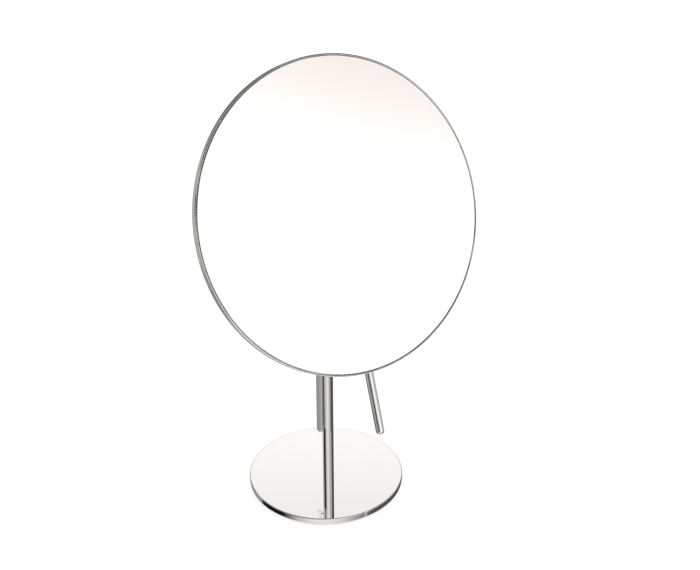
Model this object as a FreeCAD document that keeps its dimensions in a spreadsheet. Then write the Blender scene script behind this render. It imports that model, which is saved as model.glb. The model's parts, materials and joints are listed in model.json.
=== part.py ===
import FreeCAD, Part
import Sketcher
import os
import re

# Extendable shaving mirror on a table stand.
#
# Frame: origin at the centre of the stand's underside, +Z up, the mirror looks towards -Y.
# The mirror hangs on a flat bar that slides beside a round post. The bar runs in a guide block
# that turns on the post's upper end, and the mirror tilts about a pin at the bar's upper end.
# Everything on the mirror's head is drawn about the tilt axis with the mirror upright, and then
# leaned back by the resting tilt.

SIZES = {
    # mirror
    "mirror_diameter": 200,
    "glass_thickness": 2.8,
    "glass_curve_radius": 2000,
    "glass_edge_chamfer": 0.4,
    "adhesive_thickness": 0.3,
    "adhesive_inset": 3,
    "plate_thickness": 1.5,
    "plate_edge_chamfer": 0.5,
    "rim_gap": 0.2,
    "rim_wall": 1.2,
    "rim_chamfer": 0.3,
    "mirror_reach": 32,
    "rest_tilt": 20.5,
    "pivot_height": 207.5,
    # hub behind the mirror
    "hub_diameter": 44,
    "hub_thickness": 6.7,
    "hub_edge_chamfer": 1.5,
    "boss_diameter": 18,
    "boss_height": 2.4,
    "boss_chamfer": 1.2,
    "lug_thickness": 3.7,
    "lug_eye_diameter": 13,
    "hub_screw_circle": 26,
    "hub_screw_diameter": 3,
    "hub_screw_length": 6,
    "hub_screw_head_diameter": 5,
    # handle
    "handle_diameter": 5.8,
    "handle_reach": 146,
    "handle_plate_gap": 0.2,
    "handle_spigot_diameter": 4,
    "handle_spigot_length": 9,
    "handle_grub_diameter": 3,
    "grub_socket_width": 1.5,
    "grub_socket_depth": 1,
    # stand
    "base_diameter": 113,
    "base_thickness": 4.6,
    "base_edge_chamfer": 0.4,
    "pad_proud": 0.6,
    "pad_recess": 0.8,
    "pad_inset": 5,
    "post_offset": 2,
    "post_diameter": 8,
    "post_wall": 1,
    "post_length": 143,
    "post_foot_length": 18,
    "post_head_depth": 14,
    "spigot_diameter": 4.6,
    "base_screw_diameter": 4,
    "base_screw_length": 14,
    "base_screw_head_diameter": 7.6,
    "base_socket_width": 2.4,
    "base_socket_depth": 1.4,
    # guide block and its swivel
    "block_height": 24,
    "block_depth": 16,
    "block_left_wall": 8,
    "block_right_wall": 2.85,
    "block_corner_radius": 5,
    "block_edge_chamfer": 0.6,
    "thrust_washer_thickness": 0.6,
    "bush_wall": 1,
    "swivel_well_depth": 7,
    "swivel_well_diameter": 7.4,
    "swivel_washer_thickness": 0.8,
    "swivel_screw_diameter": 3,
    "swivel_screw_length": 8,
    "swivel_head_diameter": 5.2,
    "swivel_head_height": 1.8,
    "swivel_head_chamfer": 0.45,
    "swivel_socket_width": 2,
    "swivel_socket_depth": 1.1,
    "cap_depth": 2.2,
    "cap_rise": 0.8,
    "cap_chamfer": 0.4,
    # lift bar
    "bar_thickness": 2.2,
    "bar_width": 5,
    "bar_end_height": 42,
    "bar_end_radius": 0.8,
    "bar_eye_diameter": 8,
    "bar_post_gap": 1.9,
    "groove_width": 3,
    "groove_depth": 0.9,
    "raise_travel": 70,
    "lower_travel": 26,
    # friction shoe in the guide block
    "shoe_diameter": 4.6,
    "shoe_thickness": 2,
    "shoe_nose_diameter": 2.8,
    "shoe_nose_height": 0.75,
    "shoe_screw_length": 3,
    "shoe_socket_width": 2.5,
    "shoe_socket_depth": 2.1,
    "shoe_spring_bore": 2.5,
    # tilt hinge
    "hinge_screw_diameter": 4,
    "hinge_head_diameter": 7.4,
    "hinge_head_height": 2.2,
    "hinge_head_chamfer": 0.7,
    "hinge_socket_width": 2.4,
    "hinge_socket_depth": 1.5,
    "hinge_washer_diameter": 8,
    "hinge_washer_thickness": 0.4,
    "hinge_nut_across": 7,
    "hinge_nut_height": 3.2,
    # dished spring washers
    "dish_thickness": 0.3,
    "dish_rise": 0.2,
    # clearances
    "pin_gap": 0.025,
    "running_gap": 0.05,
    "sliding_gap": 0.1,
    "loose_gap": 0.3,
}

# Places that follow from the sizes. On the head, "back" lengths are measured from the tilt axis.
PLACES = {
    "base_top": "pad_proud + base_thickness",
    "recess_radius": "base_diameter / 2 - pad_inset",
    "tube_bore_radius": "post_diameter / 2 - post_wall",
    "post_top": "base_top + post_length",
    "screw_seat": "base_screw_head_diameter / 2 - base_screw_diameter / 2",
    "base_screw_bottom": "pad_proud + pad_recess + running_gap",
    "block_bottom": "post_top + thrust_washer_thickness",
    "block_top": "block_bottom + block_height",
    "well_floor": "block_top - swivel_well_depth",
    "spring_height": "dish_thickness + dish_rise",
    "spigot_top": "well_floor + spring_height + 2 * running_gap",
    "swivel_washer_top": "spigot_top + swivel_washer_thickness",
    "bush_bore_radius": "spigot_diameter / 2 + running_gap",
    "bush_radius": "bush_bore_radius + bush_wall",
    "bar_inner": "post_offset - post_diameter / 2 - bar_post_gap",
    "bar_outer": "bar_inner - bar_thickness",
    "bar_middle": "bar_inner - bar_thickness / 2",
    "block_left": "bar_outer - block_left_wall",
    "block_right": "post_offset + bush_radius + block_right_wall",
    "block_middle": "(block_left + block_right) / 2",
    "block_width": "block_right - block_left",
    "shoe_height": "block_bottom + block_height / 2",
    "nose_radius": "shoe_nose_diameter / 2",
    "groove_top": "shoe_height + lower_travel + nose_radius + sliding_gap",
    "groove_bottom": "shoe_height - raise_travel - nose_radius - sliding_gap",
    "shoe_face": "bar_outer - running_gap",
    "shoe_bore_radius": "shoe_diameter / 2 + sliding_gap",
    "shoe_back": "shoe_face - shoe_thickness",
    "shoe_screw_tip": "block_left + shoe_screw_length",
    "dish_front": "glass_curve_radius - sqrt(glass_curve_radius ^ 2 - mirror_diameter ^ 2 / 4)",
    "curve_centre": "-mirror_reach + dish_front - glass_curve_radius",
    "glass_back_radius": "glass_curve_radius + glass_thickness",
    "plate_front_radius": "glass_back_radius + adhesive_thickness",
    "plate_back_radius": "plate_front_radius + plate_thickness",
    "plate_back": "curve_centre + plate_back_radius",
    "plate_front": "curve_centre + plate_front_radius",
    "rim_inner": "mirror_diameter / 2 + rim_gap",
    "rim_outer": "rim_inner + rim_wall",
    "hub_back": "plate_back + hub_thickness",
    "boss_back": "hub_back + boss_height",
    "handle_back": "plate_back + handle_plate_gap + handle_diameter / 2",
    "handle_start": "hub_diameter / 2",
    "lug_face": "lug_thickness / 2",
    "hinge_washer_face": "lug_face + running_gap",
    "hinge_spring_face": "hinge_washer_face + hinge_washer_thickness",
    "hinge_nut_face": "hinge_spring_face + spring_height",
}

V = FreeCAD.Vector
doc = FreeCAD.newDocument("ShavingMirror")


def formula(words):
    """Turn a formula written with the plain names into one that the document understands."""
    def with_sheet(match):
        word = match.group(0)
        if word in SIZES:
            return "Sizes." + word
        return "Places." + word if word in PLACES else word
    return re.sub(r"[a-z_]+", with_sheet, words)


def make_sheets():
    sizes = doc.addObject("Spreadsheet::Sheet", "Sizes")
    for row, (name, number) in enumerate(SIZES.items(), start=1):
        sizes.set(f"A{row}", name)
        sizes.set(f"B{row}", str(number))
        sizes.setAlias(f"B{row}", name)
    places = doc.addObject("Spreadsheet::Sheet", "Places")
    for row, name in enumerate(PLACES, start=1):
        places.set(f"A{row}", name)
        places.setAlias(f"B{row}", name)
    for row, words in enumerate(PLACES.values(), start=1):
        places.set(f"B{row}", "=" + formula(words))
    doc.recompute()
    return sizes


sheet = make_sheets()


def number(words):
    return float(sheet.evalExpression(formula(words)))


def bind(thing, **formulas):
    """Set properties of a thing from formulas."""
    for name, words in formulas.items():
        thing.setExpression(name, formula(words))
    return thing


def put(thing, x="0", y="0", z="0"):
    """Place a thing by formulas for its three coordinates."""
    for axis, words in zip("xyz", (x, y, z)):
        thing.setExpression("Placement.Base." + axis, formula(words))
    return thing


def hang(thing):
    """Put a piece that is drawn about the tilt axis in its place on the leaning head."""
    thing.Placement = FreeCAD.Placement(V(), FreeCAD.Rotation(V(1, 0, 0), -1))
    thing.setExpression("Placement.Rotation.Angle", formula("-rest_tilt"))
    thing.setExpression("Placement.Base.z", formula("pivot_height"))
    return thing


# Sketches. An outline is a closed list of corners, each (across, up) in formulas. A corner with
# a third formula starts an arc instead of a line: it is that arc's centre, up the sketch's
# vertical axis.

def plane_of(body, role):
    return next(feature for feature in body.Origin.OriginFeatures if feature.Role == role)


def new_sketch(body, plane, name, shift=None):
    sketch = body.newObject("Sketcher::SketchObject", name)
    sketch.AttachmentSupport = (plane_of(body, plane), [""])
    sketch.MapMode = "FlatFace"
    for axis, words in zip("xyz", shift or ()):
        sketch.setExpression("AttachmentOffset.Base." + axis, formula(words))
    return sketch


def pin_point(sketch, edge, end, across, up):
    """Tie a sketch point to the sketch's origin by formulas."""
    for kind, words, axis in (("DistanceX", across, -2), ("DistanceY", up, -1)):
        if words is None:
            continue
        if words == "0":
            sketch.addConstraint(Sketcher.Constraint("PointOnObject", edge, end, axis))
            continue
        where = sketch.addConstraint(Sketcher.Constraint(kind, -1, 1, edge, end, number(words)))
        sketch.setExpression(f"Constraints[{where}]", formula(words))


def draw_outline(sketch, corners):
    points = [V(number(corner[0]), number(corner[1]), 0) for corner in corners]
    count = len(corners)
    for index, corner in enumerate(corners):
        start = points[index]
        end = points[(index + 1) % count]
        if len(corner) == 2:
            sketch.addGeometry(Part.LineSegment(start, end))
            continue
        centre = V(0, number(corner[2]), 0)
        radius = (start - centre).Length
        middle = (start + end) / 2 - centre
        if middle.Length < 1e-6:
            middle = V(0, 0, 1).cross(start - centre)
        way = middle.normalize() * radius
        sketch.addGeometry(Part.Arc(start, centre + way, end))
    starts = []
    ends = []
    for index, corner in enumerate(corners):
        forward = (sketch.getPoint(index, 1) - points[index]).Length < 1e-6
        starts.append(1 if forward else 2)
        ends.append(2 if forward else 1)
    for index in range(count):
        following = (index + 1) % count
        sketch.addConstraint(Sketcher.Constraint(
            "Coincident", index, ends[index], following, starts[following]))
    for index, corner in enumerate(corners):
        pin_point(sketch, index, starts[index], corner[0], corner[1])
        if len(corner) == 3:
            pin_point(sketch, index, 3, None, corner[2])


def draw_circle(sketch, across, up, radius):
    centre = V(number(across), number(up), 0)
    circle = sketch.addGeometry(Part.Circle(centre, V(0, 0, 1), number(radius)))
    size = sketch.addConstraint(Sketcher.Constraint("Radius", circle, number(radius)))
    sketch.setExpression(f"Constraints[{size}]", formula(radius))
    pin_point(sketch, circle, 3, across, up)


# Bodies and features

def new_body(label):
    body = doc.addObject("PartDesign::Body", label)
    body.Label = label
    return body


TURNING = {"Z": ("XZ_Plane", "V_Axis"), "Y": ("XY_Plane", "V_Axis"), "X": ("XY_Plane", "H_Axis")}


def turn(body, axis, outline, cut=False, shift=None):
    """Revolve an outline of (radius, along) corners about an axis, as material or as a cut."""
    plane, about = TURNING[axis]
    kind = "Groove" if cut else "Revolution"
    sketch = new_sketch(body, plane, f"{body.Label}_{kind}_sketch", shift)
    corners = [(corner[1], corner[0]) for corner in outline] if axis == "X" else outline
    draw_outline(sketch, corners)
    feature = body.newObject("PartDesign::" + kind, f"{body.Label}_{kind}")
    feature.Profile = sketch
    feature.ReferenceAxis = (sketch, [about])
    feature.Angle = 360
    doc.recompute()
    return feature


def turned(label, axis, outline):
    """A piece that is one solid of revolution."""
    body = new_body(label)
    turn(body, axis, outline)
    return body


def pad(body, sketch, length, reverse=False, symmetric=False):
    feature = body.newObject("PartDesign::Pad", f"{body.Label}_Pad")
    feature.Profile = sketch
    feature.Reversed = reverse
    feature.SideType = "Symmetric" if symmetric else "One side"
    bind(feature, Length=length)
    doc.recompute()
    return feature


def pocket(body, sketch, length, reverse=False, symmetric=False):
    before = body.Shape.Volume
    feature = body.newObject("PartDesign::Pocket", f"{body.Label}_Pocket")
    feature.Profile = sketch
    feature.Reversed = reverse
    feature.SideType = "Symmetric" if symmetric else "One side"
    bind(feature, Length=length)
    doc.recompute()
    if body.Shape.Volume > before - 1e-6:
        raise RuntimeError(body.Label + ": a pocket cuts nothing")
    return feature


def dress(body, kind, wanted, **sizes):
    """Fillet or chamfer every edge of a body whose box is one that is wanted."""
    base = body.Tip
    edges = [f"Edge{index}" for index, edge in enumerate(base.Shape.Edges, start=1)
             if wanted(edge.BoundBox)]
    feature = body.newObject("PartDesign::" + kind, f"{body.Label}_{kind}")
    feature.Base = (base, edges)
    bind(feature, **sizes)
    doc.recompute()
    return feature


def hex_corners(across):
    """Corners of a hexagon, given its width across the flats."""
    half = f"({across}) / 2"
    point = f"({across}) / sqrt(3)"
    return [(point, "0"), (f"{point} / 2", half), (f"-{point} / 2", half),
            (f"-{point}", "0"), (f"-{point} / 2", f"-{half}"), (f"{point} / 2", f"-{half}")]


def ring(label, outer, bore, thickness, axis=None):
    """A flat washer from two cylinders, along Z or along X."""
    solids = []
    for name, radius in (("outside", outer), ("bore", bore)):
        cylinder = doc.addObject("Part::Cylinder", f"{label}_{name}")
        solids.append(bind(cylinder, Radius=radius, Height=thickness))
    washer = doc.addObject("Part::Cut", label)
    washer.Base, washer.Tool = solids
    washer.Label = label
    if axis == "X":
        washer.Placement = FreeCAD.Placement(V(), FreeCAD.Rotation(V(0, 1, 0), 90))
    return washer


def dished_washer(label, outer, bore, axis, along, facing=1):
    """A dished spring washer whose low side stands at a given place along its axis."""
    low, high = ("0", "dish_rise") if facing > 0 else ("dish_rise", "0")
    return turned(label, axis, [
        (bore, f"{along} + {low}"),
        (outer, f"{along} + {high}"),
        (outer, f"{along} + {high} + dish_thickness"),
        (bore, f"{along} + {low} + dish_thickness"),
    ])


def group(label, members):
    compound = doc.addObject("Part::Compound", label)
    compound.Links = members
    compound.Label = label
    return compound


# Stand

def make_base_disc():
    body = new_body("base_disc")
    edge = "base_diameter / 2"
    inner_edge = "base_diameter / 2 - base_edge_chamfer"
    turn(body, "Z", [
        ("0", "pad_proud + pad_recess"),
        ("recess_radius", "pad_proud + pad_recess"),
        ("recess_radius", "pad_proud"),
        (inner_edge, "pad_proud"),
        (edge, "pad_proud + base_edge_chamfer"),
        (edge, "base_top - base_edge_chamfer"),
        (inner_edge, "base_top"),
        ("0", "base_top"),
    ])
    hole = "base_screw_diameter / 2 + running_gap"
    mouth = "base_screw_head_diameter / 2 + running_gap"
    turn(body, "Z", [
        ("0", "pad_proud + pad_recess"),
        (mouth, "pad_proud + pad_recess"),
        (mouth, "base_screw_bottom"),
        (hole, "base_screw_bottom + screw_seat"),
        (hole, "base_top"),
        ("0", "base_top"),
    ], cut=True, shift=("post_offset", "0", "0"))
    return body


def make_base_pad():
    """The sole covers the whole recess, and with it the head of the base screw."""
    return turned("base_pad", "Z", [
        ("0", "0"),
        ("recess_radius - loose_gap", "0"),
        ("recess_radius - loose_gap", "pad_proud + pad_recess"),
        ("0", "pad_proud + pad_recess"),
    ])


def make_base_screw():
    shank = "base_screw_diameter / 2"
    head = "base_screw_head_diameter / 2"
    body = turned("base_screw", "Z", [
        ("0", "base_screw_bottom"),
        (head, "base_screw_bottom"),
        (shank, "base_screw_bottom + screw_seat"),
        (shank, "base_screw_bottom + base_screw_length"),
        ("0", "base_screw_bottom + base_screw_length"),
    ])
    socket = new_sketch(body, "XY_Plane", "base_screw_socket", ("0", "0", "base_screw_bottom"))
    draw_outline(socket, hex_corners("base_socket_width"))
    pocket(body, socket, "base_socket_depth", reverse=True)
    return put(body, x="post_offset")


def make_post_foot():
    tapping = "base_screw_diameter / 2 + running_gap"
    tapped_top = "base_screw_bottom + base_screw_length + loose_gap"
    top = "base_top + post_foot_length"
    return put(turned("post_foot", "Z", [
        (tapping, "base_top"),
        ("tube_bore_radius", "base_top"),
        ("tube_bore_radius", top),
        ("0", top),
        ("0", tapped_top),
        (tapping, tapped_top),
    ]), x="post_offset")


def make_post_tube():
    return put(turned("post_tube", "Z", [
        ("tube_bore_radius", "base_top"),
        ("post_diameter / 2", "base_top"),
        ("post_diameter / 2", "post_top"),
        ("tube_bore_radius", "post_top"),
    ]), x="post_offset")


def make_post_head():
    spigot = "spigot_diameter / 2"
    tapping = "swivel_screw_diameter / 2 + running_gap"
    tapped_bottom = "spigot_top - swivel_screw_length - loose_gap"
    bottom = "post_top - post_head_depth"
    return put(turned("post_head", "Z", [
        ("0", bottom),
        ("tube_bore_radius", bottom),
        ("tube_bore_radius", "post_top"),
        (spigot, "post_top"),
        (spigot, "spigot_top"),
        (tapping, "spigot_top"),
        (tapping, tapped_bottom),
        ("0", tapped_bottom),
    ]), x="post_offset")


def make_thrust_washer():
    washer = ring("thrust_washer", "post_diameter / 2", "bush_bore_radius",
                  "thrust_washer_thickness - running_gap")
    return put(washer, x="post_offset", z="post_top")


# Guide block and its swivel

def make_guide_block():
    body = new_body("guide_block")
    left = "-block_width / 2"
    right = "block_width / 2"
    front = "-block_depth / 2"
    rear = "block_depth / 2"
    plan = new_sketch(body, "XY_Plane", "guide_block_plan", ("block_middle", "0", "block_bottom"))
    draw_outline(plan, [(left, front), (right, front), (right, rear), (left, rear)])
    pad(body, plan, "block_height")
    dress(body, "Fillet", lambda box: box.XLength + box.YLength < 1e-6,
          Radius="block_corner_radius")
    dress(body, "Chamfer", lambda box: box.ZLength < 1e-6, Size="block_edge_chamfer")
    # bore of the swivel bush, with the well for the screw above it
    well = "swivel_well_diameter / 2"
    turn(body, "Z", [
        ("0", "block_bottom"),
        ("bush_radius", "block_bottom"),
        ("bush_radius", "well_floor"),
        (well, "well_floor"),
        (well, "block_top"),
        ("0", "block_top"),
    ], cut=True, shift=("post_offset", "0", "0"))
    # slot that the lift bar slides in
    slot = new_sketch(body, "XY_Plane", "guide_block_slot", ("bar_middle", "0", "block_bottom"))
    side = "bar_thickness / 2 + sliding_gap"
    end = "bar_width / 2 + sliding_gap"
    draw_outline(slot, [("-(" + side + ")", "-(" + end + ")"), (side, "-(" + end + ")"),
                        (side, end), ("-(" + side + ")", end)])
    pocket(body, slot, "block_height", reverse=True)
    # bore of the friction shoe, from the left side into the slot
    bore = new_sketch(body, "YZ_Plane", "guide_block_shoe_bore", ("0", "shoe_height", "block_left"))
    draw_circle(bore, "0", "0", "shoe_bore_radius")
    pocket(body, bore, "bar_outer - block_left", reverse=True)
    return body


def make_swivel_bush():
    return put(turned("swivel_bush", "Z", [
        ("bush_bore_radius", "block_bottom"),
        ("bush_radius", "block_bottom"),
        ("bush_radius", "well_floor"),
        ("bush_bore_radius", "well_floor"),
    ]), x="post_offset")


def make_swivel_disc_spring():
    spring = dished_washer("swivel_disc_spring", "bush_radius - sliding_gap",
                           "bush_bore_radius + sliding_gap", "Z", "well_floor + running_gap")
    return put(spring, x="post_offset")


def make_swivel_washer():
    washer = ring("swivel_washer", "swivel_well_diameter / 2 - loose_gap",
                  "swivel_screw_diameter / 2 + running_gap", "swivel_washer_thickness")
    return put(washer, x="post_offset", z="spigot_top")


def make_swivel_screw():
    shank = "swivel_screw_diameter / 2"
    head = "swivel_head_diameter / 2"
    head_top = "swivel_washer_top + swivel_head_height"
    body = turned("swivel_screw", "Z", [
        ("0", "spigot_top - swivel_screw_length"),
        (shank, "spigot_top - swivel_screw_length"),
        (shank, "swivel_washer_top"),
        (head, "swivel_washer_top"),
        (head, head_top + " - swivel_head_chamfer"),
        (head + " - swivel_head_chamfer", head_top),
        ("0", head_top),
    ])
    socket = new_sketch(body, "XY_Plane", "swivel_screw_socket", ("0", "0", head_top))
    draw_outline(socket, hex_corners("swivel_socket_width"))
    pocket(body, socket, "swivel_socket_depth")
    return put(body, x="post_offset")


def make_block_cap():
    rim = "swivel_well_diameter / 2"
    return put(turned("block_cap", "Z", [
        ("0", "block_top - cap_depth"),
        (rim, "block_top - cap_depth"),
        (rim, "block_top"),
        (rim, "block_top + cap_rise - cap_chamfer"),
        (rim + " - cap_chamfer", "block_top + cap_rise"),
        ("0", "block_top + cap_rise"),
    ]), x="post_offset")


# Friction shoe, drawn along X

def make_friction_shoe():
    return put(turned("friction_shoe", "X", [
        ("0", "shoe_back"),
        ("shoe_diameter / 2", "shoe_back"),
        ("shoe_diameter / 2", "shoe_face"),
        ("nose_radius", "shoe_face"),
        ("nose_radius", "bar_outer + shoe_nose_height"),
        ("0", "bar_outer + shoe_nose_height"),
    ]), z="shoe_height")


def make_shoe_disc_springs():
    """Four dished washers, turned face to face in pairs, that fill the room behind the shoe."""
    count = 4
    pitch = f"(shoe_back - shoe_screw_tip) / {count}"
    washers = []
    for index in range(count):
        along = f"shoe_screw_tip + {pitch} * {index} + ({pitch} - spring_height) / 2"
        washer = dished_washer(f"shoe_disc_spring_{index + 1}", "shoe_diameter / 2 - sliding_gap",
                               "shoe_spring_bore / 2", "X", along, facing=1 if index % 2 else -1)
        washers.append(put(washer, z="shoe_height"))
    return group("shoe_disc_springs", washers)


def make_shoe_set_screw():
    body = turned("shoe_set_screw", "X", [
        ("0", "block_left"),
        ("shoe_bore_radius - running_gap", "block_left"),
        ("shoe_bore_radius - running_gap", "shoe_screw_tip"),
        ("0", "shoe_screw_tip"),
    ])
    socket = new_sketch(body, "YZ_Plane", "shoe_set_screw_socket", ("0", "0", "block_left"))
    draw_outline(socket, hex_corners("shoe_socket_width"))
    pocket(body, socket, "shoe_socket_depth", reverse=True)
    return put(body, z="shoe_height")


# Lift bar and the tilt hinge at its upper end

def make_lift_bar():
    body = new_body("lift_bar")
    half = "bar_width / 2"
    side = new_sketch(body, "YZ_Plane", "lift_bar_side", ("0", "0", "bar_outer"))
    draw_outline(side, [
        (half, "bar_end_height"), (half, "pivot_height"),
        ("-" + half, "pivot_height"), ("-" + half, "bar_end_height"),
    ])
    pad(body, side, "bar_thickness")
    foot = number("bar_end_height") + 1e-6
    dress(body, "Fillet", lambda box: box.ZMax < foot and box.YLength < 1e-6,
          Radius="bar_end_radius")
    round_end = new_sketch(body, "YZ_Plane", "lift_bar_round_end", ("0", "0", "bar_outer"))
    draw_circle(round_end, "0", "pivot_height", "bar_eye_diameter / 2")
    pad(body, round_end, "bar_thickness")
    # groove for the nose of the friction shoe: its two ends stop the bar's travel
    reach = "groove_width / 2"
    groove = new_sketch(body, "YZ_Plane", "lift_bar_groove", ("0", "0", "bar_outer"))
    draw_outline(groove, [
        (reach, "groove_bottom"), (reach, "groove_top"),
        ("-" + reach, "groove_top"), ("-" + reach, "groove_bottom"),
    ])
    pocket(body, groove, "groove_depth", reverse=True)
    eye = new_sketch(body, "YZ_Plane", "lift_bar_eye", ("0", "0", "bar_outer"))
    draw_circle(eye, "0", "pivot_height", "hinge_screw_diameter / 2 + pin_gap")
    pocket(body, eye, "bar_thickness", reverse=True)
    return body


def make_hinge_screw():
    shank = "hinge_screw_diameter / 2"
    head = "hinge_head_diameter / 2"
    left = "bar_outer - hinge_head_height"
    body = turned("hinge_screw", "X", [
        ("0", left),
        (head + " - hinge_head_chamfer", left),
        (head, left + " + hinge_head_chamfer"),
        (head, "bar_outer"),
        (shank, "bar_outer"),
        (shank, "hinge_nut_face + hinge_nut_height"),
        ("0", "hinge_nut_face + hinge_nut_height"),
    ])
    socket = new_sketch(body, "YZ_Plane", "hinge_screw_socket", ("0", "0", left))
    draw_outline(socket, hex_corners("hinge_socket_width"))
    pocket(body, socket, "hinge_socket_depth", reverse=True)
    return put(body, z="pivot_height")


def make_hinge_washers():
    """One washer between the bar and the lug, and one on the lug's other side."""
    bore = "hinge_screw_diameter / 2 + running_gap"
    radius = "hinge_washer_diameter / 2"
    near = ring("hinge_washer_left", radius, bore, "-hinge_washer_face - bar_inner", "X")
    far = ring("hinge_washer_right", radius, bore, "hinge_washer_thickness", "X")
    put(near, x="bar_inner", z="pivot_height")
    put(far, x="hinge_washer_face", z="pivot_height")
    return group("hinge_washers", [near, far])


def make_hinge_disc_spring():
    spring = dished_washer("hinge_disc_spring", "hinge_washer_diameter / 2 - sliding_gap",
                           "hinge_screw_diameter / 2 + running_gap", "X", "hinge_spring_face")
    return put(spring, z="pivot_height")


def make_hinge_nut():
    body = new_body("hinge_nut")
    face = new_sketch(body, "YZ_Plane", "hinge_nut_face", ("0", "0", "hinge_nut_face"))
    draw_outline(face, hex_corners("hinge_nut_across"))
    draw_circle(face, "0", "0", "hinge_screw_diameter / 2 + running_gap")
    pad(body, face, "hinge_nut_height")
    return put(body, z="pivot_height")


# Mirror head, drawn about the tilt axis

def make_mirror_hub():
    body = new_body("mirror_hub")
    rim = "hub_diameter / 2"
    boss = "boss_diameter / 2"
    rim_front = f"curve_centre + sqrt(plate_back_radius ^ 2 - ({rim}) ^ 2)"
    turn(body, "Y", [
        ("0", "plate_back", "curve_centre"),
        (rim, rim_front),
        (rim, "hub_back - hub_edge_chamfer"),
        (rim + " - hub_edge_chamfer", "hub_back"),
        (boss + " + boss_chamfer", "hub_back"),
        (boss, "hub_back + boss_chamfer"),
        (boss, "boss_back"),
        ("0", "boss_back"),
    ])
    # lug: a web that runs back from the boss and ends in a round eye on the tilt axis
    lug = new_sketch(body, "XY_Plane", "mirror_hub_web", ("0", "0", "0"))
    eye = "lug_eye_diameter / 2"
    draw_outline(lug, [
        ("-lug_face", "boss_back - boss_height"), ("lug_face", "boss_back - boss_height"),
        ("lug_face", "0"), ("-lug_face", "0"),
    ])
    pad(body, lug, "lug_eye_diameter", symmetric=True)
    round_end = new_sketch(body, "YZ_Plane", "mirror_hub_eye", ("0", "0", "0"))
    draw_circle(round_end, "0", "0", eye)
    pad(body, round_end, "lug_thickness", symmetric=True)
    axle = new_sketch(body, "YZ_Plane", "mirror_hub_axle", ("0", "0", "0"))
    draw_circle(axle, "0", "0", "hinge_screw_diameter / 2 + running_gap")
    pocket(body, axle, "lug_thickness", symmetric=True)
    # radial socket for the handle's spigot
    socket = new_sketch(body, "XY_Plane", "mirror_hub_socket", ("0", "0", "-handle_start"))
    draw_circle(socket, "0", "handle_back", "handle_spigot_diameter / 2 + running_gap")
    pocket(body, socket, "handle_spigot_length + loose_gap", reverse=True)
    # tapped hole for the grub screw, from behind into the socket
    grub = new_sketch(body, "XZ_Plane", "mirror_hub_grub", ("0", "0", "-hub_back"))
    draw_circle(grub, "0", "-handle_start + handle_spigot_length / 2",
                "handle_grub_diameter / 2 + running_gap")
    pocket(body, grub, "hub_back - handle_back", reverse=True)
    # tapped holes for the screws that come through the plate
    taps = new_sketch(body, "XZ_Plane", "mirror_hub_taps", ("0", "0", "-plate_front"))
    for across, up in hub_screw_places():
        draw_circle(taps, across, up, "hub_screw_diameter / 2 + running_gap")
    pocket(body, taps, "hub_screw_length + loose_gap")
    return hang(body)


def hub_screw_places():
    """Centres of the three hub screws: one above, two below, clear of the handle's socket."""
    places = []
    for angle in (90, 210, 330):
        across = f"hub_screw_circle / 2 * cos({angle})"
        places.append(("0" if angle == 90 else across, f"hub_screw_circle / 2 * sin({angle})"))
    return places


def make_hub_screws():
    """Three countersunk screws with their heads sunk in the front of the back plate."""
    shank = "hub_screw_diameter / 2"
    head = "hub_screw_head_diameter / 2"
    top = "plate_front + running_gap"
    screws = []
    for index, (across, up) in enumerate(hub_screw_places(), start=1):
        screw = turned(f"hub_screw_{index}", "Y", [
            ("0", top),
            (head, top),
            (shank, f"{top} + {head} - {shank}"),
            (shank, "plate_front + hub_screw_length"),
            ("0", "plate_front + hub_screw_length"),
        ])
        screws.append(put(screw, x=across, z=up))
    return hang(group("hub_screws", screws))


def make_back_plate():
    """A dished pan: its low rim stands round the glass, flush with the edge of its face."""
    body = new_body("back_plate")
    floor_edge = "curve_centre + sqrt(plate_front_radius ^ 2 - rim_inner ^ 2)"
    back_edge = "rim_outer - plate_edge_chamfer"
    back_edge_place = f"curve_centre + sqrt(plate_back_radius ^ 2 - ({back_edge}) ^ 2)"
    turn(body, "Y", [
        ("0", "plate_front", "curve_centre"),
        ("rim_inner", floor_edge),
        ("rim_inner", "-mirror_reach"),
        ("rim_outer - rim_chamfer", "-mirror_reach"),
        ("rim_outer", "-mirror_reach + rim_chamfer"),
        ("rim_outer", back_edge_place + " - plate_edge_chamfer"),
        (back_edge, back_edge_place, "curve_centre"),
        ("0", "plate_back"),
    ])
    hole = "hub_screw_diameter / 2 + running_gap"
    mouth = "hub_screw_head_diameter / 2 + running_gap"
    seat = "plate_front + running_gap"
    for across, up in hub_screw_places():
        turn(body, "Y", [
            ("0", "plate_front - loose_gap"),
            (mouth, "plate_front - loose_gap"),
            (mouth, seat),
            (hole, f"{seat} + {mouth} - ({hole})"),
            (hole, "plate_back + loose_gap"),
            ("0", "plate_back + loose_gap"),
        ], cut=True, shift=(across, "0", up))
    return hang(body)


def make_adhesive_sheet():
    edge = "mirror_diameter / 2 - adhesive_inset"
    front = f"curve_centre + sqrt(glass_back_radius ^ 2 - ({edge}) ^ 2)"
    back = f"curve_centre + sqrt(plate_front_radius ^ 2 - ({edge}) ^ 2)"
    return hang(turned("adhesive_sheet", "Y", [
        ("0", "curve_centre + glass_back_radius", "curve_centre"),
        (edge, front),
        (edge, back, "curve_centre"),
        ("0", "plate_front"),
    ]))


def make_mirror_glass():
    edge = "mirror_diameter / 2"
    inner = "mirror_diameter / 2 - glass_edge_chamfer"
    front = f"curve_centre + sqrt(glass_curve_radius ^ 2 - ({inner}) ^ 2)"
    back = f"curve_centre + sqrt(glass_back_radius ^ 2 - ({edge}) ^ 2)"
    return hang(turned("mirror_glass", "Y", [
        ("0", "curve_centre + glass_curve_radius", "curve_centre"),
        (inner, front),
        (edge, front + " + glass_edge_chamfer"),
        (edge, back, "curve_centre"),
        ("0", "curve_centre + glass_back_radius"),
    ]))


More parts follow.
